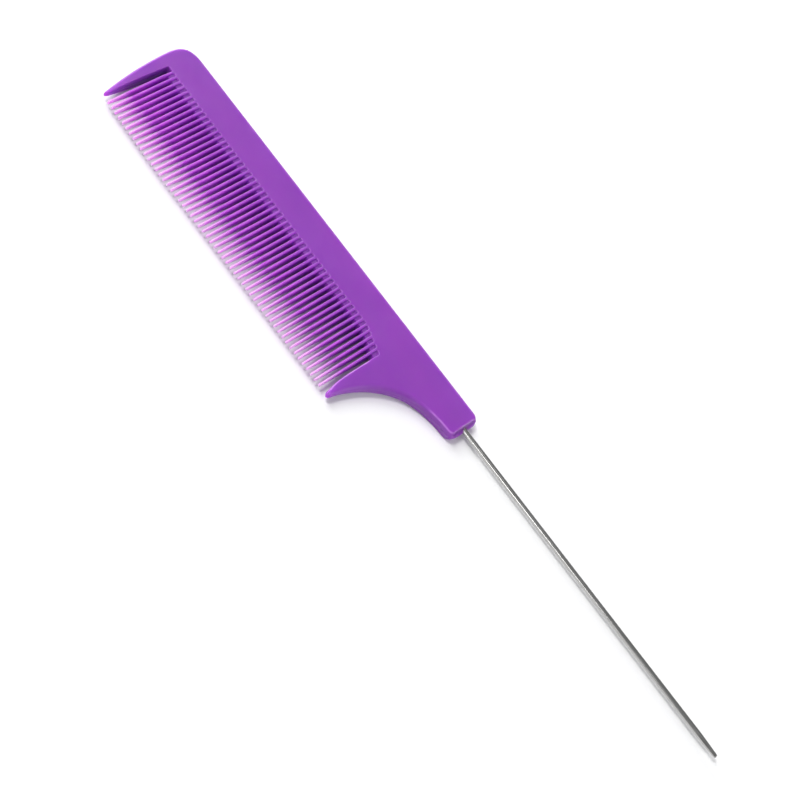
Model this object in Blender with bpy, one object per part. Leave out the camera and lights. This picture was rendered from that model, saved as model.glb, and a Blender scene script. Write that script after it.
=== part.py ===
"""Rat tail comb: a one-piece moulded comb body with a steel pin set into its neck.

The comb lies flat. +X runs from the comb's head to the point of the pin, the
teeth point to -Y, and the back face rests on Z = 0. The origin is the centre
of the outline on that face. All dimensions below are in millimetres.
"""

import math

import bpy
import bmesh
from mathutils import Vector

# ---------------------------------------------------------------- dimensions
MM = 0.001

TOOTH_PITCH = 1.65
TOOTH_COUNT = 55
THICKNESS = 4.0            # spine and neck
SPINE_WIDTH = 9.5          # back edge to the roots of the teeth
TOOTH_REACH = 30.2         # back edge to the tips of the teeth
FIRST_SHORTER = 0.8        # the teeth beside the head are up to this much shorter
TOOTH_ROOT_WIDTH = 0.76
TOOTH_TIP_WIDTH = 0.54
TOOTH_TIP_THICKNESS = 1.0
TAPER_START = 12.7         # how far from the back edge the teeth start to thin
TOOTH_EDGE = 0.10          # small edge round on a tooth

EDGE_RADIUS = 1.0          # rounding round the spine, neck and guard teeth
DRAFT = 0.05               # how far the mid-plane stands out from the faces' edges

HEAD_OVERHANG = 4.32       # head edge, ahead of the first gap's reference line
HEAD_GUARD_REACH = 28.8
NECK_GUARD_REACH = 30.4
GUARD_TIP_THICKNESS = 1.7
GUARD_TAPER_START = 15.5
SHELF_START = 84.1         # from here the roots slope down towards the neck guard
SHELF_SLOPE = 0.315

NECK_END = 119.6           # end face of the neck
NECK_WIDTH = 9.75          # width of the neck where the pin leaves it

PIN_DIAMETER = 1.5
PIN_EXPOSED = 97.6
PIN_EMBEDDED = 24.0
PIN_OFFSET = 4.6           # pin axis, from the back edge
PIN_TIP_TAPER = 7.0
PIN_TIP_DIAMETER = 0.95
PIN_GROOVES = 4            # retention grooves on the buried shank
PIN_GROOVE_DEPTH = 0.12
SOCKET_CLEARANCE = 0.04
SOCKET_LEAD = 0.35         # small countersink round the pin
ROUND_STEPS = 24

# Derived positions: u runs along the comb from the first gap, v from the back
# edge towards the tips of the teeth.
PIN_POINT = NECK_END + PIN_EXPOSED
U_CENTRE = (PIN_POINT - HEAD_OVERHANG) / 2
V_CENTRE = NECK_GUARD_REACH / 2
HALF = THICKNESS / 2


def bezier(points, t):
    """Point on a cubic curve with four control points."""
    s = 1 - t
    weights = (s * s * s, 3 * s * s * t, 3 * s * t * t, t * t * t)
    return tuple(sum(w * p[k] for w, p in zip(weights, points)) for k in range(2))


def u_at(points, v):
    """u of a curve whose v only rises or only falls, where it crosses v."""
    low, high = 0.0, 1.0
    rising = points[3][1] > points[0][1]
    for _ in range(50):
        mid = (low + high) / 2
        if (bezier(points, mid)[1] < v) == rising:
            low = mid
        else:
            high = mid
    return bezier(points, (low + high) / 2)[0]


# Curves of the outline.
HEAD_CORNER = ((2.64, 0.0), (-1.98, 0.0), (-HEAD_OVERHANG, 1.32), (-HEAD_OVERHANG, 5.78))
HEAD_EDGE = ((-HEAD_OVERHANG, 5.78), (-4.26, 10.9), (-2.35, 23.2), (-1.12, 28.2))
NECK_SWEEP = ((94.6, 29.7), (96.1, 21.7), (101.3, 9.9), (117.0, NECK_WIDTH - 0.05))


def root_v(u):
    """How far the root of a gap is from the back edge."""
    return SPINE_WIDTH + max(0.0, u - SHELF_START) * SHELF_SLOPE


def half_tooth(v):
    """Half the thickness of a tooth."""
    t = min(1.0, max(0.0, (v - TAPER_START) / (TOOTH_REACH - TAPER_START)))
    return HALF + (TOOTH_TIP_THICKNESS / 2 - HALF) * t


def half_guard(v, reach):
    """Half the thickness of the guard tooth at either end."""
    t = min(1.0, max(0.0, (v - GUARD_TAPER_START) / (reach - GUARD_TAPER_START)))
    return HALF + (GUARD_TIP_THICKNESS / 2 - HALF) * t ** 1.6


def levels(start, stop, count):
    return [start + (stop - start) * k / count for k in range(count + 1)]


def build_loop():
    """The body's outline, counter-clockwise seen from +Z, as dicts with the
    position, the local edge rounding and the local half thickness. Also the
    pairs of points that face each other across each tooth."""
    loop = []
    strips = []

    def add(u, v, edge, half, draft=DRAFT):
        loop.append({"u": u, "v": v, "edge": edge, "half": half, "draft": draft})
        return len(loop) - 1

    # Back edge, from the neck to the head, then the head's rounded corner.
    for u in levels(116.9, 2.64, 6):
        add(u, 0.0, EDGE_RADIUS, HALF)
    for k in range(1, 9):
        add(*bezier(HEAD_CORNER, k / 8), EDGE_RADIUS, HALF)
    add(u_at(HEAD_EDGE, 7.7), 7.7, EDGE_RADIUS, HALF)

    # Head guard tooth: outer edge down, point, inner edge up.
    rows = levels(SPINE_WIDTH, 27.9, 7)
    outer = []
    for v in rows:
        width = -0.42 - u_at(HEAD_EDGE, v)
        half = half_guard(v, HEAD_GUARD_REACH)
        outer.append(add(u_at(HEAD_EDGE, v), v, min(EDGE_RADIUS, 0.36 * width, 0.7 * half), half))
    half = half_guard(28.5, HEAD_GUARD_REACH)
    tip = [
        add(-1.02, 28.55, 0.2, half),
        add(-0.78, HEAD_GUARD_REACH, 0.18, half),
        add(-0.52, 28.55, 0.14, half),
    ]
    inner = []
    for v in reversed(rows):
        u = -0.36 - 0.08 * (v - SPINE_WIDTH) / (HEAD_GUARD_REACH - SPINE_WIDTH)
        inner.append(add(u, v, TOOTH_EDGE, half_guard(v, HEAD_GUARD_REACH)))
    strips.append((outer, inner[::-1], tip))

    # Teeth: each goes down its head side, round its tip and up its neck side.
    for i in range(1, TOOTH_COUNT + 1):
        centre = i * TOOTH_PITCH
        wide, narrow = TOOTH_ROOT_WIDTH / 2, TOOTH_TIP_WIDTH / 2
        left, right = root_v(centre - wide), root_v(centre + wide)
        reach = TOOTH_REACH - FIRST_SHORTER * max(0.0, 1 - i / 14)
        end = reach - narrow
        a = [
            add(centre - wide, left, TOOTH_EDGE, HALF),
            add(centre - wide + (wide - narrow) * (TAPER_START + 2 - left) / (end - left),
                TAPER_START + 2, TOOTH_EDGE, half_tooth(TAPER_START + 2)),
            add(centre - narrow, end, TOOTH_EDGE, half_tooth(end)),
        ]
        tip = [add(centre, reach, TOOTH_EDGE, half_tooth(reach))]
        b = [
            add(centre + narrow, end, TOOTH_EDGE, half_tooth(end)),
            add(centre + wide - (wide - narrow) * (TAPER_START + 2 - right) / (end - right),
                TAPER_START + 2, TOOTH_EDGE, half_tooth(TAPER_START + 2)),
            add(centre + wide, right, TOOTH_EDGE, HALF),
        ]
        strips.append((a, b[::-1], tip))

    # Neck guard tooth: inner edge down, rounded point, then the long sweep.
    start = root_v(92.2)
    rows = levels(start, 28.9, 7)
    inner = []
    for v in rows:
        t = (v - start) / (28.9 - start)
        inner.append(add(92.2 + 0.12 * t + 0.75 * t ** 8, v, TOOTH_EDGE + 0.35 * t,
                         half_guard(v, NECK_GUARD_REACH)))
    half = half_guard(30, NECK_GUARD_REACH)
    tip = [
        add(93.4, 29.85, 0.42, half),
        add(93.95, NECK_GUARD_REACH, 0.4, half),
        add(94.45, 29.95, 0.42, half),
    ]
    outer = []
    for v in reversed(rows):
        u = u_at(NECK_SWEEP, v)
        half = half_guard(v, NECK_GUARD_REACH)
        outer.append(add(u, v, min(EDGE_RADIUS, 0.3 * (u - 92.3), 0.7 * half), half))
    strips.append((inner, outer[::-1], tip))
    last = u_at(NECK_SWEEP, start)
    reached = min(range(1001), key=lambda k: abs(bezier(NECK_SWEEP, k / 1000)[0] - last)) / 1000
    for k in range(1, 8):
        add(*bezier(NECK_SWEEP, reached + (1 - reached) * k / 7), EDGE_RADIUS, HALF)

    # End of the neck: two rounded corners and the face that the pin leaves.
    corner = ((117.0, 9.7), (118.9, 9.7), (NECK_END, 9.1), (NECK_END, 7.4))
    for k in range(1, 5):
        add(*bezier(corner, k / 4), EDGE_RADIUS, HALF)
    corner = ((NECK_END, 2.4), (NECK_END, 0.6), (118.9, 0.0), (116.9, 0.0))
    for k in range(0, 4):
        add(*bezier(corner, k / 4), EDGE_RADIUS, HALF)
    return loop, strips


def place(u, v, w):
    """u, v and height above the mid-plane to the object's frame, in metres."""
    return Vector(((u - U_CENTRE) * MM, (V_CENTRE - v) * MM, (w + HALF) * MM))


def inward(loop):
    """Mitred inward direction at each outline point, in u and v."""
    result = []
    for i, here in enumerate(loop):
        before, after = loop[i - 1], loop[(i + 1) % len(loop)]
        normals = []
        for p, q in ((before, here), (here, after)):
            du, dv = q["u"] - p["u"], q["v"] - p["v"]
            length = math.hypot(du, dv)
            normals.append((dv / length, -du / length))
        mu, mv = normals[0][0] + normals[1][0], normals[0][1] + normals[1][1]
        scale = 2 / max(mu * mu + mv * mv, 0.6)
        # The outline turns with v pointing down, so this normal points inwards.
        result.append((mu * scale, mv * scale))
    return result


# Edge profile from the top face down to the mid-plane: inset and drop, as
# fractions of the local rounding.
PROFILE = ((1.0, 0.0), (0.4, 0.16), (0.08, 0.6))


def comb_body():
    loop, strips = build_loop()
    inside = inward(loop)
    bm = bmesh.new()
    rings = []
    for sign in (1, -1):
        for inset, drop in PROFILE:
            ring = []
            for point, (nu, nv) in zip(loop, inside):
                off = inset * point["edge"] + point["draft"]
                ring.append(bm.verts.new(place(
                    point["u"] + nu * off, point["v"] + nv * off,
                    sign * (point["half"] - drop * point["edge"]))))
            rings.append(ring)
        if sign == 1:
            rings.append([bm.verts.new(place(p["u"], p["v"], 0.0)) for p in loop])
    top, bottom = rings[0], rings[len(PROFILE) + 1]
    order = rings[:len(PROFILE) + 1] + rings[len(PROFILE) + 1:][::-1]
    count = len(loop)
    for upper, lower in zip(order, order[1:]):
        for i in range(count):
            j = (i + 1) % count
            bm.faces.new((upper[i], lower[i], lower[j], upper[j]))
    # Faces of the teeth and guards, in strips across them, then the spine.
    in_strip = set()
    for a, b, tip in strips:
        for ring, flip in ((top, False), (bottom, True)):
            for k in range(len(a) - 1):
                quad = (ring[a[k]], ring[a[k + 1]], ring[b[k + 1]], ring[b[k]])
                bm.faces.new(quad[::-1] if flip else quad)
            # Going round the point, from the end of one side to the other.
            ends = sorted((a[-1], b[-1]))
            fan = [ring[ends[0]]] + [ring[i] for i in tip] + [ring[ends[1]]]
            bm.faces.new(fan[::-1] if flip else fan)
        in_strip.update(a[1:])
        in_strip.update(b[1:])
        in_strip.update(tip)
    rest = [i for i in range(count) if i not in in_strip]
    bm.faces.new([top[i] for i in rest])
    bm.faces.new([bottom[i] for i in rest][::-1])
    bmesh.ops.triangulate(bm, faces=[f for f in bm.faces if len(f.verts) > 4])
    bmesh.ops.recalc_face_normals(bm, faces=bm.faces)
    return bm


def turned(stations, steps):
    """A solid of revolution about +X from (x, radius) stations, capped."""
    bm = bmesh.new()
    rings = []
    for x, radius in stations:
        rings.append([
            bm.verts.new(Vector((x * MM, radius * MM * math.cos(2 * math.pi * k / steps),
                                 radius * MM * math.sin(2 * math.pi * k / steps))))
            for k in range(steps)])
    for near, far in zip(rings, rings[1:]):
        for k in range(steps):
            m = (k + 1) % steps
            bm.faces.new((near[k], near[m], far[m], far[k]))
    bm.faces.new(rings[0][::-1])
    bm.faces.new(rings[-1])
    bmesh.ops.recalc_face_normals(bm, faces=bm.faces)
    return bm


def pin_stations():
    """Profile of the pin from its buried end to its point; x is 0 at the neck's end."""
    radius = PIN_DIAMETER / 2
    stations = [(-PIN_EMBEDDED, radius - 0.2), (-PIN_EMBEDDED + 0.2, radius)]
    first = -PIN_EMBEDDED + 2.0
    for k in range(PIN_GROOVES):
        x = first + 2.4 * k
        stations += [(x, radius), (x + 0.3, radius - PIN_GROOVE_DEPTH),
                     (x + 0.9, radius - PIN_GROOVE_DEPTH), (x + 1.2, radius)]
    end = PIN_EXPOSED
    blunt = PIN_TIP_DIAMETER / 2
    stations.append((end - PIN_TIP_TAPER, radius))
    stations.append((end - PIN_TIP_TAPER * 0.5, (radius + blunt) / 2 + 0.06))
    for k in range(0, 5):
        angle = math.pi / 2 * k / 5
        stations.append((end - blunt * 0.9 * (1 - math.sin(angle)), blunt * math.cos(angle)))
    stations.append((end, blunt * 0.18))
    return stations


def make_object(name, bm, material, smooth_angle):
    mesh = bpy.data.meshes.new(name)
    bm.to_mesh(mesh)
    bm.free()
    mesh.materials.append(material)
    mesh.shade_smooth()
    mesh.set_sharp_from_angle(angle=math.radians(smooth_angle))
    obj = bpy.data.objects.new(name, mesh)
    bpy.context.scene.collection.objects.link(obj)
    return obj


def make_material(name, color, roughness, metallic):
    material = bpy.data.materials.new(name)
    material.use_nodes = True
    shader = material.node_tree.nodes["Principled BSDF"]
    shader.inputs["Base Color"].default_value = (*color, 1.0)
    shader.inputs["Roughness"].default_value = roughness
    shader.inputs["Metallic"].default_value = metallic
    return material


for existing in list(bpy.data.objects):
    bpy.data.objects.remove(existing, do_unlink=True)

purple = make_material("purple_plastic", (0.30, 0.075, 0.49), 0.34, 0.0)
steel = make_material("polished_steel", (0.62, 0.61, 0.60), 0.22, 1.0)

body = make_object("comb_body", comb_body(), purple, 32)

# The pin's axis, where it leaves the neck.
axis_point = place(NECK_END, PIN_OFFSET, 0.0)

# Blind socket in the neck, with a small lead-in at its mouth.
socket_radius = PIN_DIAMETER / 2 + SOCKET_CLEARANCE
socket = make_object("socket_cutter", turned(
    [(-PIN_EMBEDDED - 0.3, socket_radius), (-SOCKET_LEAD, socket_radius),
     (0.6, socket_radius + SOCKET_LEAD + 0.6)], ROUND_STEPS), purple, 30)
socket.location = axis_point
socket.hide_render = True
socket.display_type = "WIRE"
cut = body.modifiers.new("socket", "BOOLEAN")
cut.operation = "DIFFERENCE"
cut.object = socket
cut.solver = "EXACT"

pin = make_object("pin_tail", turned(pin_stations(), ROUND_STEPS), steel, 40)
pin.location = axis_point
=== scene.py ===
import math

import bpy
import bmesh
from mathutils import Matrix, Vector
from mathutils.geometry import delaunay_2d_cdt


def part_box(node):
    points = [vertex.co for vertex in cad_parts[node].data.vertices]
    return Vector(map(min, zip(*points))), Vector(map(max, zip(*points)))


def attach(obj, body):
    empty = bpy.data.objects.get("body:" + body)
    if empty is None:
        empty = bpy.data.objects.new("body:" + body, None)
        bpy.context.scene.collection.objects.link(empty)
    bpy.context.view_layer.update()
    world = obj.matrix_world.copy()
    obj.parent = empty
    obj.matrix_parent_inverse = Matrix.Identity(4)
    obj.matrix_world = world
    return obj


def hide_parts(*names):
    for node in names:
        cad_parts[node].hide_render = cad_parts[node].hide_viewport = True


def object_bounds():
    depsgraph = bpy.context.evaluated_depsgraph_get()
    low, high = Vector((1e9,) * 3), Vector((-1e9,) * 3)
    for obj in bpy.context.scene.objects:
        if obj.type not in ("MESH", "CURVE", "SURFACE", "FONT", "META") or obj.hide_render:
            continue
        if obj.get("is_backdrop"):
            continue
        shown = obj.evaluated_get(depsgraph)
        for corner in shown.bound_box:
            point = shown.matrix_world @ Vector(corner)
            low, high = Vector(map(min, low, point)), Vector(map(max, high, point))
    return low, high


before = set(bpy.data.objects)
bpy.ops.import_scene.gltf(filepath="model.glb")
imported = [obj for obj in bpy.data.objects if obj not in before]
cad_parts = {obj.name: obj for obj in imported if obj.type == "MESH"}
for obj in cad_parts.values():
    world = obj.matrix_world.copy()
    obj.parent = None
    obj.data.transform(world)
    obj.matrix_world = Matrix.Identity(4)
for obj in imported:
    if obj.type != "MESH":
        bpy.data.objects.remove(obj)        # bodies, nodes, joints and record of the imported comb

low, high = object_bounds()

# ------------------------------------------------------------------ the frame
# u runs along the comb from the first gap, v from the back edge towards the
# tips of the teeth, w up from the mid-plane; all three in millimetres.
MM = 0.001
body_low, body_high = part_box("comb_body")
pin_low, pin_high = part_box("pin_tail")

HEAD_OVERHANG = 4.32
U_ZERO = body_low.x / MM + HEAD_OVERHANG
V_ZERO = body_high.y / MM
W_ZERO = (body_low.z + body_high.z) / 2 / MM
HALF = (body_high.z - body_low.z) / 2 / MM
REACH = V_ZERO - body_low.y / MM              # tip of the neck guard tooth
NECK_END = body_high.x / MM - U_ZERO
PIN_RADIUS = (pin_high.z - pin_low.z) / 2 / MM
PIN_V = V_ZERO - (pin_low.y + pin_high.y) / 2 / MM
PIN_BACK = pin_low.x / MM - U_ZERO
PIN_POINT = pin_high.x / MM - U_ZERO

PITCH = 1.65
TEETH = 55
SPINE = 9.5
TOOTH_REACH = 30.2
HEAD_REACH = 28.8
TAPER_START = 12.7
ROOT_WIDTH = 0.76
TIP_WIDTH = 0.56
SLOT_FILLET = 0.27
# The web at the foot of each gap: a step down from the face, a shallow shelf
# between the teeth, then a steep drop to the mid-plane. How far out from the
# foot each ring of the edge lies there, and how soon that fades up the teeth.
WEB_ROUND = (0.0, 0.01, 0.03, 0.06, 0.09, 0.13)
WEB_SHELF = 1.75
WEB_END = 2.3
WEB_FADE = 4.6
SHELF_START = 84.1
SHELF_SLOPE = 0.315

HEAD_CORNER = ((2.64, 0.0), (-1.98, 0.0), (-4.32, 1.32), (-4.32, 5.78))
HEAD_EDGE = ((-4.32, 5.78), (-4.26, 10.9), (-2.35, 23.2), (-1.12, 28.2))
NECK_SWEEP = ((94.6, 29.7), (96.1, 21.7), (101.3, 9.9), (117.0, 9.7))
NECK_CORNER = ((117.0, 9.7), (118.9, 9.7), (119.6, 9.1), (119.6, 7.4))
BACK_CORNER = ((119.6, 2.4), (119.6, 0.6), (118.9, 0.0), (116.9, 0.0))


def place(u, v, w):
    return Vector((U_ZERO + u, V_ZERO - v, W_ZERO + w)) * MM


def bezier(points, t):
    s = 1 - t
    weights = (s * s * s, 3 * s * s * t, 3 * s * t * t, t * t * t)
    return tuple(sum(w * p[k] for w, p in zip(weights, points)) for k in range(2))


def t_at(points, v):
    """Parameter where a curve whose v only rises or only falls crosses v."""
    a, b = 0.0, 1.0
    rising = points[3][1] > points[0][1]
    for _ in range(50):
        mid = (a + b) / 2
        if (bezier(points, mid)[1] < v) == rising:
            a = mid
        else:
            b = mid
    return (a + b) / 2


def smooth(t):
    t = min(1.0, max(0.0, t))
    return t * t * (3 - 2 * t)


def mix(a, b, t):
    return a + (b - a) * t


def levels(start, stop, count):
    return [start + (stop - start) * k / count for k in range(count + 1)]


def jitter(i, k):
    """A repeatable number from -1 to 1."""
    x = math.sin(i * 12.9898 + k * 78.233) * 43758.5453
    return 2 * (x - math.floor(x)) - 1


# ------------------------------------------------------------- the comb body
def root_v(u):
    return SPINE + max(0.0, u - SHELF_START) * SHELF_SLOPE


def web(u, v):
    """How much of the web's reach a point near the foot of a gap takes. The
    first gap, beside the head guard, has none."""
    if u < PITCH:
        return 0.0
    return min(1.0, max(0.0, 1 - (v - root_v(u)) / WEB_FADE))


def half_tooth(v):
    t = min(1.0, max(0.0, (v - TAPER_START) / (TOOTH_REACH - TAPER_START)))
    half = mix(HALF, 0.52, t)
    # The end of a tooth rounds over in thickness as well as in width.
    end = max(0.0, (v - (TOOTH_REACH - 0.9)) / 0.9)
    return half * math.sqrt(max(0.1, 1 - 0.62 * end * end))


def half_guard(v, reach):
    t = min(1.0, max(0.0, (v - 15.5) / (reach - 15.5)))
    half = mix(HALF, 0.85, t ** 1.6)
    end = max(0.0, (v - (reach - 1.3)) / 1.3)
    return half * math.sqrt(max(0.1, 1 - 0.55 * end * end))


def outline():
    """The body's outline as points with the local edge rounding (how far in
    and how far down), half thickness, the painted glow of light through the
    plastic where it thins towards the tips (thin), and the painted
    highlight on its rounded edges (shine); and the pairs of points that
    face each other across each tooth."""
    loop, strips = [], []

    def add(u, v, inset, drop, half, thin=0.0, lip=0.0, slope=0.0, shine=0.3):
        loop.append({"u": u, "v": v, "inset": inset, "drop": drop, "half": half,
                     "thin": thin, "lip": lip, "draft": 0.05, "ridge": 0.035,
                     "slope": slope, "shine": shine})
        return len(loop) - 1

    # Back edge and the head's rounded corner.
    for u in levels(116.9, 2.64, 60):
        add(u, 0.0, 0.95, 0.95, HALF)
    for k in range(1, 25):
        add(*bezier(HEAD_CORNER, k / 24), mix(0.95, 0.5, k / 24), mix(0.95, 0.6, k / 24), HALF, shine=0.15)
    for v in (6.4, 7.1, 7.9, 8.7):
        add(bezier(HEAD_EDGE, t_at(HEAD_EDGE, v))[0], v, 0.5, 0.6, HALF, shine=0.1)

    # Head guard tooth.
    rows = levels(SPINE + SLOT_FILLET + 0.1, 27.6, 20)
    outer, inner = [], []
    for v in rows:
        u = bezier(HEAD_EDGE, t_at(HEAD_EDGE, v))[0]
        width = -0.42 - u
        half = half_guard(v, HEAD_REACH)
        # Painted glow of light through the guard where it thins towards its tip.
        thin = smooth((v - 20) / 10)
        outer.append(add(u, v, min(0.5, 0.40 * width), min(0.6, 0.62 * half), half, 0.15 * thin, shine=0.1))
    tip = []
    for u, v in ((-1.14, 28.0), (-1.09, 28.4), (-0.97, 28.68), (-0.8, HEAD_REACH),
                 (-0.63, 28.7), (-0.5, 28.4), (-0.45, 28.0)):
        half = half_guard(v, HEAD_REACH)
        tip.append(add(u, v, 0.2, min(0.3, 0.5 * half), half, 0.2))
    for v in reversed(rows):
        u = -0.36 - 0.08 * (v - SPINE) / (HEAD_REACH - SPINE)
        half = half_guard(v, HEAD_REACH)
        inner.append(add(u, v, 0.16, 0.16, half, 0.15 * smooth((v - 20) / 10), slope=web(u, v)))
    strips.append((outer, inner[::-1], tip))

    def slot_floor(right_of, left_of):
        """Rounded floor of the gap between two walls at these u, with a painted highlight line along its top edge."""
        r = SLOT_FILLET
        for k in range(1, 5):
            a = math.pi / 2 * k / 4
            u = right_of + r * (1 - math.cos(a))
            v = root_v(u) + r * (1 - math.sin(a))
            add(u, v, 0.2, 0.38, HALF, slope=web(u, v), shine=0.35)
        for k in range(0, 4):
            a = math.pi / 2 * k / 4
            u = left_of - r * (1 - math.sin(a))
            v = root_v(u) + r * (1 - math.cos(a))
            add(u, v, 0.2, 0.38, HALF, slope=web(u, v), shine=0.35)

    # Teeth, each after the floor of the gap ahead of it.
    wall = -0.36
    for i in range(1, TEETH + 1):
        centre = i * PITCH
        wide, narrow = ROOT_WIDTH / 2, TIP_WIDTH / 2
        slot_floor(wall, centre - wide)
        lean = 0.03 * jitter(i, 1)
        reach = TOOTH_REACH + 0.05 * jitter(i, 2) - 0.05 - 0.8 * max(0.0, 1 - i / 14)
        left, right = root_v(centre - wide) + SLOT_FILLET + 0.06, root_v(centre + wide) + SLOT_FILLET + 0.12
        end = reach - narrow

        def side(sign, start):
            found = []
            for k, v in enumerate([start] + levels(max(TAPER_START, start + 0.4), end, 9)):
                t = min(1.0, max(0.0, (v - start) / (end - start)))
                out = mix(wide, narrow, t ** 0.85)
                half = half_tooth(v)
                u = centre + sign * out
                # Along each side the painted glow rises towards the tip, and so does the painted edge highlight (the
                # last value).
                found.append((u + lean * t * t, v, mix(0.17, 0.14, t), mix(0.2, 0.17, t), half,
                              smooth((v - 12.5) / 17.5), 0.0, web(u, v), mix(0.2, 0.5, t)))
            return found

        a = [add(*p) for p in side(-1, left)]
        tip = []
        for k in range(1, 8):
            angle = math.pi * k / 8
            v = end + narrow * math.sin(angle)
            half = half_tooth(v + 30.2 - TOOTH_REACH)
            tip.append(add(centre - narrow * math.cos(angle) + lean, v, 0.13, min(0.16, half * 0.45), half, 1.0))
        b = [add(*p) for p in side(1, right)[::-1]]
        strips.append((a, b[::-1], tip))
        wall = centre + wide

    # Neck guard tooth: inner edge, rounded point, then the long sweep.
    slot_floor(wall, 92.2)
    start = root_v(92.2) + SLOT_FILLET + 0.1
    rows = [start] + levels(start + 0.5, 28.7, 22)
    inner, outer = [], []
    for v in rows:
        t = (v - start) / (28.7 - start)
        half = half_guard(v, REACH)
        # Past v 15.6 the inner edge gets a wider bevel and a full painted highlight line.
        bevel = 0.0 if v < 15.6 else mix(0.45, 1.0, min(1.0, (v - 15.6) / 13))
        inner.append(add(92.2 + 0.12 * t + 0.75 * t ** 8, v, mix(0.16, 0.5, bevel),
                         mix(0.16, 0.42, bevel), half, 0.12 * smooth((v - 21) / 9),
                         slope=web(92.2, v), shine=0.3 if v < 15.6 else 1.0))
    tip = []
    for u, v in ((93.12, 29.25), (93.3, 29.75), (93.6, 30.15), (93.95, REACH),
                 (94.25, 30.25), (94.48, 29.95), (94.6, 29.55), (94.68, 29.15)):
        half = half_guard(v, REACH)
        tip.append(add(u, v, 0.42, min(0.4, 0.55 * half), half, 0.12))
    for v in reversed(rows):
        u = bezier(NECK_SWEEP, t_at(NECK_SWEEP, v))[0]
        half = half_guard(v, REACH)
        width = u - 92.3
        outer.append(add(u, v, min(1.25, 0.42 * width), min(1.3, 0.68 * half), half, 0.1 * smooth((v - 22) / 8), shine=0.1))
    strips.append((inner, outer[::-1], tip))
    reached = t_at(NECK_SWEEP, start)
    # The painted edge highlight grows towards the end of the neck.
    for t in levels(reached, 1.0, 26)[1:]:
        u, v = bezier(NECK_SWEEP, t)
        s = smooth((u - 104) / 8)
        add(u, v, mix(1.25, 0.42, s), mix(1.3, 0.42, s), HALF, shine=mix(0.1, 1.0, smooth((u - 109) / 4)))

    # End of the neck: rounded corners and an end face with a lip under it, with a full painted highlight along their
    # front edges.
    for k in range(1, 15):
        s = smooth(k / 14)
        add(*bezier(NECK_CORNER, k / 14), mix(0.42, 0.6, s), mix(0.42, 0.5, s), HALF, lip=s, shine=1.0)
    for v in levels(7.4, 2.4, 8)[1:-1]:
        add(NECK_END, v, 0.6, 0.5, HALF, lip=1.0, shine=1.0)
    for k in range(0, 14):
        s = smooth(k / 14)
        add(*bezier(BACK_CORNER, k / 14), mix(0.6, 0.95, s), mix(0.5, 0.95, s), HALF, lip=1 - s, shine=mix(1.0, 0.3, s))
    return loop, strips


def inward(loop):
    """Mitred inward direction at each outline point, in u and v."""
    result = []
    for i, here in enumerate(loop):
        before, after = loop[i - 1], loop[(i + 1) % len(loop)]
        normals = []
        for p, q in ((before, here), (here, after)):
            du, dv = q["u"] - p["u"], q["v"] - p["v"]
            length = math.hypot(du, dv)
            normals.append((dv / length, -du / length))
        mu, mv = normals[0][0] + normals[1][0], normals[0][1] + normals[1][1]
        scale = 2 / max(mu * mu + mv * mv, 0.6)
        result.append((mu * scale, mv * scale))
    return result


# Rounding from a face down to the wall below it, in degrees round the edge,
# and the end of the neck's own profile there: how far in and how far down.
ROUND = (0.0, 18.0, 40.0, 62.0, 80.0, 90.0)
LIP = ((1.45, 0.0), (1.28, 0.03), (1.12, 0.16), (1.04, 0.42), (0.98, 0.92), (0.52, 1.24))
LIP_LOW = (0.14, 1.55)


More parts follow.
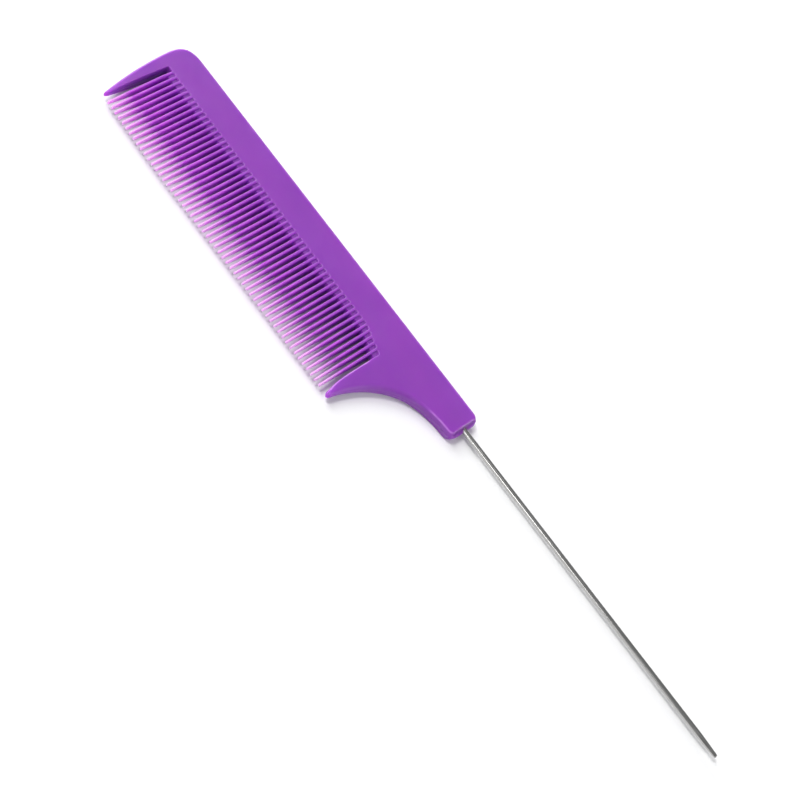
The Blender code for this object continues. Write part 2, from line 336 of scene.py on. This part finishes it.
def body_mesh():
    loop, strips = outline()
    inside = inward(loop)
    bm = bmesh.new()
    thin = bm.verts.layers.float.new("thin")
    # The "edge" layer holds the painted highlight on the rounded edges.
    edge = bm.verts.layers.float.new("edge")

    def ring(height, shine_by_angle, reach=0.0):
        made = []
        for point, (nu, nv) in zip(loop, inside):
            off, w = height(point)
            down = point["slope"] * reach
            vert = bm.verts.new(place(point["u"] + nu * off, point["v"] + nv * off + down, w) / MM)
            vert[thin] = point["thin"]
            vert[edge] = shine_by_angle * point["shine"]
            made.append(vert)
        return made

    def rounded(sign, k):
        a = math.radians(ROUND[k])

        def height(point):
            drop = point["drop"] * (1 - math.cos(a))
            w = point["half"] - mix(drop, LIP[k][1], point["lip"])
            off = mix(point["inset"] * (1 - math.sin(a)), LIP[k][0], point["lip"])
            return off + point["draft"] * w / point["half"], sign * w
        return height

    def lower(sign):
        def height(point):
            drop = point["drop"] + 0.045 * (point["half"] - point["drop"])
            w = point["half"] - mix(drop, LIP_LOW[1], point["lip"])
            return mix(0.0, LIP_LOW[0], point["lip"]) + point["draft"] * w / point["half"], sign * w
        return height

    def flat(sign):
        def height(point):
            off = mix(point["inset"], LIP[0][0], point["lip"])
            return off + point["draft"] + min(0.06, 0.2 * point["inset"]), sign * point["half"]
        return height

    def near_mid(sign):
        return lambda p: (p["draft"] * 0.1 / p["half"], sign * 0.1)

    order = range(len(ROUND))
    # Painted edge highlight is strongest halfway round each rounding, where the lamps would glint.
    shine_by_angle = [max(0.0, math.sin(math.radians(2 * d))) for d in ROUND]
    rings = [ring(flat(1), 0.0)]
    rings += [ring(rounded(1, k), shine_by_angle[k], WEB_ROUND[k]) for k in order]
    rings.append(ring(lower(1), 0.0, WEB_SHELF))
    rings.append(ring(near_mid(1), 0.0, WEB_END))
    rings.append(ring(lambda p: (-p["ridge"], 0.0), 0.0, WEB_END))
    rings.append(ring(near_mid(-1), 0.0, WEB_END))
    rings.append(ring(lower(-1), 0.0, WEB_SHELF))
    rings += [ring(rounded(-1, k), shine_by_angle[k], WEB_ROUND[k]) for k in reversed(order)]
    rings.append(ring(flat(-1), 0.0))

    count = len(loop)
    for upper, lower in zip(rings, rings[1:]):
        for i in range(count):
            j = (i + 1) % count
            bm.faces.new((upper[i], lower[i], lower[j], upper[j]))
    top, bottom = rings[0], rings[-1]
    in_strip = set()
    for a, b, tip in strips:
        for ring_, flip in ((top, False), (bottom, True)):
            for k in range(len(a) - 1):
                quad = (ring_[a[k]], ring_[a[k + 1]], ring_[b[k + 1]], ring_[b[k]])
                bm.faces.new(quad[::-1] if flip else quad)
            ends = sorted((a[-1], b[-1]))
            fan = [ring_[ends[0]]] + [ring_[i] for i in tip] + [ring_[ends[1]]]
            bm.faces.new(fan[::-1] if flip else fan)
        in_strip.update(a[1:])
        in_strip.update(b[1:])
        in_strip.update(tip)
    # Spine, guards' feet and neck: one flat polygon, filled at millimetre size.
    rest = [i for i in range(count) if i not in in_strip]
    flat_points = [Vector((top[i].co.x, top[i].co.y)) for i in rest]
    filled = delaunay_2d_cdt(flat_points, [], [list(range(len(rest)))], 1, 1e-5)
    if len(filled[0]) != len(rest):
        raise ValueError("the flat face's outline crosses itself")
    for tri in filled[2]:
        ids = [rest[filled[3][k][0]] for k in tri]
        bm.faces.new([top[i] for i in ids])
        bm.faces.new([bottom[i] for i in ids][::-1])
    bmesh.ops.triangulate(bm, faces=[f for f in bm.faces if len(f.verts) > 4])
    bmesh.ops.recalc_face_normals(bm, faces=bm.faces)
    for vert in bm.verts:
        vert.co *= MM
    return bm


def turned(stations, steps):
    """A closed solid of revolution about +X from (x, radius) stations."""
    bm = bmesh.new()
    rings = []
    for x, radius in stations:
        rings.append([
            bm.verts.new(Vector((x, radius * math.cos(2 * math.pi * k / steps),
                                 radius * math.sin(2 * math.pi * k / steps))) * MM)
            for k in range(steps)])
    for near, far in zip(rings, rings[1:]):
        for k in range(steps):
            m = (k + 1) % steps
            bm.faces.new((near[k], near[m], far[m], far[k]))
    bm.faces.new(rings[0][::-1])
    bm.faces.new(rings[-1])
    bmesh.ops.recalc_face_normals(bm, faces=bm.faces)
    return bm


def make_object(name, bm, sharp=None):
    mesh = bpy.data.meshes.new(name)
    bm.to_mesh(mesh)
    bm.free()
    mesh.shade_smooth()
    if sharp is not None:
        mesh.set_sharp_from_angle(angle=math.radians(sharp))
    obj = bpy.data.objects.new(name, mesh)
    bpy.context.scene.collection.objects.link(obj)
    return obj


# --------------------------------------------------------------------- nodes
class Tree:
    """Short ways to add nodes to a material."""

    def __init__(self, name):
        self.material = bpy.data.materials.new(name)
        self.material.use_nodes = True
        self.tree = self.material.node_tree
        self.shader = self.tree.nodes["Principled BSDF"]

    def node(self, kind, **values):
        made = self.tree.nodes.new(kind)
        for key, value in values.items():
            setattr(made, key, value)
        return made

    def link(self, out, into):
        self.tree.links.new(out, into)

    def coords(self, scale=(1, 1, 1)):
        source = self.node("ShaderNodeTexCoord")
        mapping = self.node("ShaderNodeMapping")
        mapping.inputs["Scale"].default_value = scale
        self.link(source.outputs["Object"], mapping.inputs["Vector"])
        return mapping.outputs["Vector"]

    def noise(self, vector, scale, detail=2.0, roughness=0.5):
        made = self.node("ShaderNodeTexNoise")
        made.inputs["Scale"].default_value = scale
        made.inputs["Detail"].default_value = detail
        made.inputs["Roughness"].default_value = roughness
        self.link(vector, made.inputs["Vector"])
        return made.outputs["Fac"]

    def remap(self, value, a, b, c, d):
        made = self.node("ShaderNodeMapRange")
        made.inputs["From Min"].default_value = a
        made.inputs["From Max"].default_value = b
        made.inputs["To Min"].default_value = c
        made.inputs["To Max"].default_value = d
        self.link(value, made.inputs["Value"])
        return made.outputs["Result"]

    def math(self, operation, a, b):
        made = self.node("ShaderNodeMath", operation=operation)
        for socket, value in zip(made.inputs, (a, b)):
            if isinstance(value, (int, float)):
                socket.default_value = value
            else:
                self.link(value, socket)
        return made.outputs["Value"]

    def mix(self, factor, a, b):
        made = self.node("ShaderNodeMix", data_type="RGBA")
        self.link(factor, made.inputs["Factor"])
        for name, value in (("A", a), ("B", b)):
            socket = next(s for s in made.inputs if s.name == name and s.type == "RGBA")
            if isinstance(value, tuple):
                socket.default_value = (*value, 1.0)
            else:
                self.link(value, socket)
        return next(s for s in made.outputs if s.type == "RGBA")

    def attribute(self, name):
        made = self.node("ShaderNodeAttribute", attribute_name=name)
        return made.outputs["Fac"]

    def bump(self, height, strength, distance, normal=None):
        made = self.node("ShaderNodeBump")
        made.inputs["Strength"].default_value = strength
        made.inputs["Distance"].default_value = distance
        self.link(height, made.inputs["Height"])
        if normal is not None:
            self.link(normal, made.inputs["Normal"])
        return made.outputs["Normal"]


def plastic():
    t = Tree("purple_plastic")
    here = t.coords()
    # Colour: slow drift of the pigment along the moulding, a painted glow of light through the plastic where it thins
    # (lighter and pinker towards the tips), and a painted highlight, mottled by noise, along the rounded edges.
    drift = t.remap(t.noise(here, 48.0, 2.0), 0.3, 0.7, 0.0, 1.0)
    base = t.mix(drift, (0.228, 0.044, 0.388), (0.258, 0.054, 0.424))
    flow = t.remap(t.noise(t.coords((14, 60, 60)), 3.2, 3.0), 0.35, 0.65, 0.0, 0.35)
    base = t.mix(flow, base, (0.276, 0.049, 0.410))
    # Painted glow: light passing through the thinning teeth and guard tips, and bounce light from the floor, painted
    # as a lighter, pinker colour.
    thin = t.attribute("thin")
    base = t.mix(t.remap(thin, 0.0, 0.35, 0.0, 0.33), base, (0.60, 0.16, 0.78))
    base = t.mix(t.remap(thin, 0.62, 1.0, 0.0, 0.64), base, (0.92, 0.56, 0.93))
    # Painted highlight on the rounded edges, mottled by noise.
    edge_shine = t.math("MULTIPLY", t.attribute("edge"),
                  t.remap(t.noise(here, 420.0, 3.0), 0.35, 0.72, 0.30, 0.90))
    base = t.mix(edge_shine, base, (0.52, 0.24, 0.66))
    t.link(base, t.shader.inputs["Base Color"])
    # Gloss: satin, with faint handling scratches along the comb.
    scratches = t.remap(t.noise(t.coords((30, 1700, 1700)), 1.0, 2.0), 0.62, 0.74, 0.0, 1.0)
    rough = t.remap(t.noise(here, 260.0, 3.0), 0.3, 0.7, 0.33, 0.42)
    rough = t.math("ADD", rough, t.math("MULTIPLY", scratches, 0.07))
    t.link(rough, t.shader.inputs["Roughness"])
    # Surface: slight waviness of the moulded faces, and their fine grain.
    normal = t.bump(t.noise(here, 130.0, 1.0), 0.5, 0.00004)
    normal = t.bump(t.noise(here, 4200.0, 2.0), 0.35, 0.000006, normal)
    normal = t.bump(scratches, 0.25, 0.000004, normal)
    t.link(normal, t.shader.inputs["Normal"])
    t.shader.inputs["IOR"].default_value = 1.49
    t.shader.inputs["Specular IOR Level"].default_value = 0.42
    t.shader.inputs["Subsurface Weight"].default_value = 0.90
    t.shader.inputs["Subsurface Radius"].default_value = (1.0, 0.35, 1.0)
    t.shader.inputs["Subsurface Scale"].default_value = 0.0036
    return t.material


def steel():
    t = Tree("polished_steel")
    here = t.coords()
    # Drawn wire: long fine lines, slightly uneven tone, a little stain by the plastic.
    lines = t.noise(t.coords((60, 9000, 9000)), 1.0, 3.0)
    tone = t.mix(t.remap(lines, 0.35, 0.65, 0.0, 1.0), (0.43, 0.425, 0.415), (0.55, 0.545, 0.535))
    blotch = t.remap(t.noise(here, 90.0, 3.0), 0.45, 0.75, 0.0, 0.35)
    tone = t.mix(blotch, tone, (0.39, 0.38, 0.36))
    t.link(tone, t.shader.inputs["Base Color"])
    rough = t.remap(lines, 0.3, 0.7, 0.17, 0.27)
    rough = t.math("ADD", rough, t.remap(t.noise(here, 250.0, 2.0), 0.4, 0.7, 0.0, 0.05))
    t.link(rough, t.shader.inputs["Roughness"])
    normal = t.bump(lines, 0.2, 0.000004)
    normal = t.bump(t.noise(here, 500.0, 2.0), 0.05, 0.000006, normal)
    t.link(normal, t.shader.inputs["Normal"])
    t.shader.inputs["Metallic"].default_value = 1.0
    return t.material


def pale_floor():
    t = Tree("pale_floor")
    here = t.coords()
    tone = t.mix(t.noise(here, 9.0, 2.0), (0.90, 0.90, 0.905), (0.92, 0.92, 0.925))
    t.link(tone, t.shader.inputs["Base Color"])
    t.link(t.bump(t.noise(here, 900.0, 3.0), 0.15, 0.00003), t.shader.inputs["Normal"])
    t.shader.inputs["Roughness"].default_value = 0.7
    t.shader.inputs["Specular IOR Level"].default_value = 0.2
    return t.material


# -------------------------------------------------------------------- pieces
purple = plastic()
bright = steel()

comb = make_object("comb_moulding", body_mesh(), 50)
comb.data.materials.append(purple)

axis = place(NECK_END, PIN_V, 0.0)
socket_radius = PIN_RADIUS + 0.04
cutter = make_object("socket_shape", turned(
    [(PIN_BACK - NECK_END - 0.3, socket_radius), (-0.5, socket_radius),
     (-0.28, socket_radius + 0.06), (0.6, socket_radius + 0.9)], 48), 30)
cutter.location = axis
cutter.hide_render = True
cutter.hide_viewport = False
cutter.display_type = "WIRE"
cutter.data.materials.append(purple)
cut = comb.modifiers.new("socket", "BOOLEAN")
cut.operation = "DIFFERENCE"
cut.object = cutter
cut.solver = "EXACT"
bpy.context.view_layer.update()
graph = bpy.context.evaluated_depsgraph_get()
final = bpy.data.meshes.new_from_object(comb.evaluated_get(graph))
comb.modifiers.clear()
comb.data = final
bpy.data.objects.remove(cutter, do_unlink=True)


def pin_stations():
    r = PIN_RADIUS
    length = PIN_POINT - NECK_END
    back = PIN_BACK - NECK_END
    stations = [(back, r - 0.2), (back + 0.06, r - 0.08), (back + 0.2, r)]
    for k in range(4):
        x = back + 2.0 + 2.4 * k
        stations += [(x, r), (x + 0.3, r - 0.12), (x + 0.9, r - 0.12), (x + 1.2, r)]
    stations += [(x, r) for x in levels(-12.0, length - 7.4, 46)]
    # The last few millimetres are ground down, and the end is rounded off.
    blunt = 0.54
    for k in range(0, 13):
        s = k / 12
        stations.append((length - 7.0 + (7.0 - 0.5) * s, mix(r, blunt, s ** 1.35)))
    for k in range(1, 9):
        a = math.pi / 2 * k / 9
        stations.append((length - 0.5 + 0.5 * math.sin(a), blunt * math.cos(a) ** 0.9))
    stations.append((length, 0.04))
    return stations


pin = make_object("pin_steel", turned(pin_stations(), 64), 40)
pin.location = axis
pin.data.materials.append(bright)

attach(comb, "root")
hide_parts("comb_body")
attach(pin, "root")
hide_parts("pin_tail")

# --------------------------------------------------------------------- stage
floor_mesh = bpy.data.meshes.new("floor")
side = 3.0
floor_mesh.from_pydata([(-side, -side, 0), (side, -side, 0), (side, side, 0), (-side, side, 0)], [], [(0, 1, 2, 3)])
floor = bpy.data.objects.new("floor", floor_mesh)
bpy.context.scene.collection.objects.link(floor)
floor.location.z = low.z - 0.00003
floor_mesh.materials.append(pale_floor())
floor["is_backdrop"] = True

world = bpy.data.worlds.new("studio")
bpy.context.scene.world = world
world.use_nodes = True
sky = world.node_tree.nodes["Background"]
sky.inputs["Color"].default_value = (0.97, 0.98, 1.0, 1.0)
sky.inputs["Strength"].default_value = 0.28


def area_light(name, where, target, size, power, color=(1, 1, 1)):
    data = bpy.data.lights.new(name, "AREA")
    data.shape = "RECTANGLE"
    data.size, data.size_y = size
    data.energy = power
    data.color = color
    light = bpy.data.objects.new(name, data)
    bpy.context.scene.collection.objects.link(light)
    light.location = where
    light.rotation_mode = "QUATERNION"
    light.rotation_quaternion = (Vector(target) - Vector(where)).to_track_quat("-Z", "Y")
    return light


area_light("key", (-1.45, 0.08, 1.28), (0, 0, 0), (1.1, 1.1), 20.5)
area_light("top", (-0.66, -0.30, 1.35), (-0.05, 0, 0), (0.25, 0.4), 9.0)
area_light("front", (-0.06, -1.30, 0.65), (-0.05, 0, 0), (0.3, 0.45), 2.6)
area_light("edge", (-1.20, 0.74, 0.60), (-0.03, 0, 0), (0.24, 0.24), 9.0)
area_light("side", (1.0, 0.15, 0.55), (0, 0, 0), (0.6, 0.8), 4.2)

# -------------------------------------------------------------------- camera
camera_data = bpy.data.cameras.new("camera")
camera_data.sensor_width = 36.0
camera_data.lens = 66.0
camera_data.clip_start = 0.01
camera_data.clip_end = 20.0
camera = bpy.data.objects.new("camera", camera_data)
bpy.context.scene.collection.objects.link(camera)
right = Vector((0.6020881, 0.7106659, 0.3639285)).normalized()
back = Vector((0.1440518, -0.5450131, 0.8259599)).normalized()
up = back.cross(right).normalized()
right = up.cross(back).normalized()
spot = Vector((0.0493379, -0.1938331, 0.2974210))
camera.matrix_world = Matrix((
    (right.x, up.x, back.x, spot.x),
    (right.y, up.y, back.y, spot.y),
    (right.z, up.z, back.z, spot.z),
    (0, 0, 0, 1)))
bpy.context.scene.camera = camera

bpy.context.scene.view_settings.view_transform = "Standard"

low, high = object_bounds()
